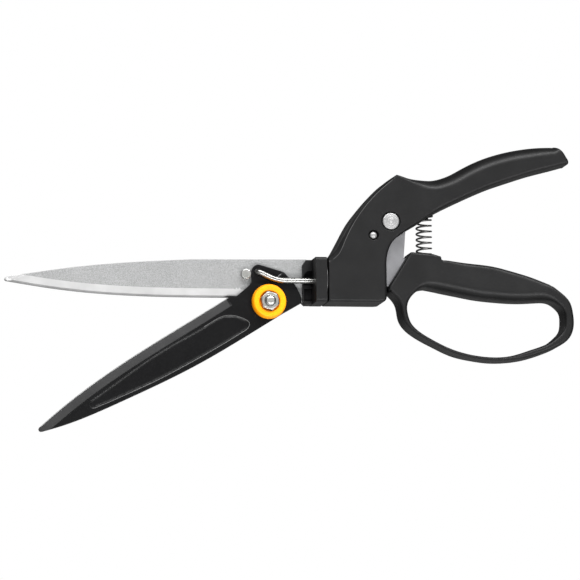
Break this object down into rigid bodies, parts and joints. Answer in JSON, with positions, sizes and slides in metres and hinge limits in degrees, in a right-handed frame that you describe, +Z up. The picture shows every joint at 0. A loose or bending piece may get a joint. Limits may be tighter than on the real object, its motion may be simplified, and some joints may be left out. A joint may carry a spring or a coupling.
{
  "type": "grass shears",
  "caption": "One-handed grass shears with a turning head, a fixed and a moving blade, bent pull rod, orange pivot disc, curved handle and finger loop.",
  "frame": {"origin": "middle of the length and of the thickness, at the height of the lowest point, the moving blade's tip", "axes": "+X from the blade tips to the handle ends, +Y across the thickness to the far side with the screws, +Z up with the tool upright and the upper handle on top"},
  "size_m": [0.34, 0.027, 0.1724],
  "materials": {
    "blasted_steel": "bead blasted with a ground cutting band",
    "black_coating": "smooth low-friction coating",
    "orange_plastic": "satin moulded",
    "black_nylon": "fine-grained moulded",
    "chrome_rod": "bright plated",
    "zinc_steel": "zinc plated",
    "bright_steel": "turned",
    "rivet_steel": "turned rings",
    "plate_steel": "rolled",
    "spring_steel": "drawn",
    "bearing_plastic": "smooth"
  },
  "bodies": {
    "handle_body": {"case_near": "black_nylon", "case_far": "black_nylon", "case_screws": "zinc_steel", "swivel_bearing": "bearing_plastic", "lever_rivet": "rivet_steel", "lever_bush": "bright_steel", "stop_rivet": "bright_steel", "spring_seat": "black_nylon", "return_spring": "spring_steel"},
    "lever": {"lever_plate": "plate_steel", "lever_yoke": "plate_steel", "yoke_pin": "bright_steel", "loop_grip": "black_nylon", "grip_rivets": "zinc_steel"},
    "head": {"swivel_head": "black_nylon", "fixed_blade": "blasted_steel", "stop_pin": "bright_steel", "tang_rivets": "zinc_steel", "head_ring": "spring_steel", "head_washer": "spring_steel", "pivot_bolt": "zinc_steel", "pivot_nut": "zinc_steel", "pivot_disc": "orange_plastic", "pivot_bush": "bright_steel"},
    "blade": {"moving_blade": "black_coating"},
    "rod": {"pull_rod": "chrome_rod", "rod_spool": "black_nylon", "rod_clip": "spring_steel"}
  },
  "joints": [
    {"name": "lever_squeeze", "type": "hinge", "parent": "handle_body", "child": "lever", "pos_m": [0.0583, 0, 0.1255], "axis": [0, -1, 0], "range_deg": [0, 18.34], "stiffness_Nm_per_rad": 1.6, "springref_deg": -10.03, "deforming": ["return_spring"]},
    {"name": "head_swivel", "type": "hinge", "parent": "handle_body", "child": "head", "pos_m": [0.0206, 0, 0.0909], "axis": [1, 0, 0], "continuous": true},
    {"name": "blade_swing", "type": "hinge", "parent": "head", "child": "blade", "pos_m": [-0.0133, 0, 0.0783], "axis": [0, 1, 0], "range_deg": [0, 34]},
    {"name": "rod_pull", "type": "slide", "parent": "head", "child": "rod", "axis": [1, 0, 0], "range_m": [0, 0.01104]}
  ],
  "couplings": [
    {"joint": "blade_swing", "follows": "lever_squeeze", "ratio": 1.8519},
    {"joint": "rod_pull", "follows": "lever_squeeze", "m_per_rad": 0.034452}
  ]
}
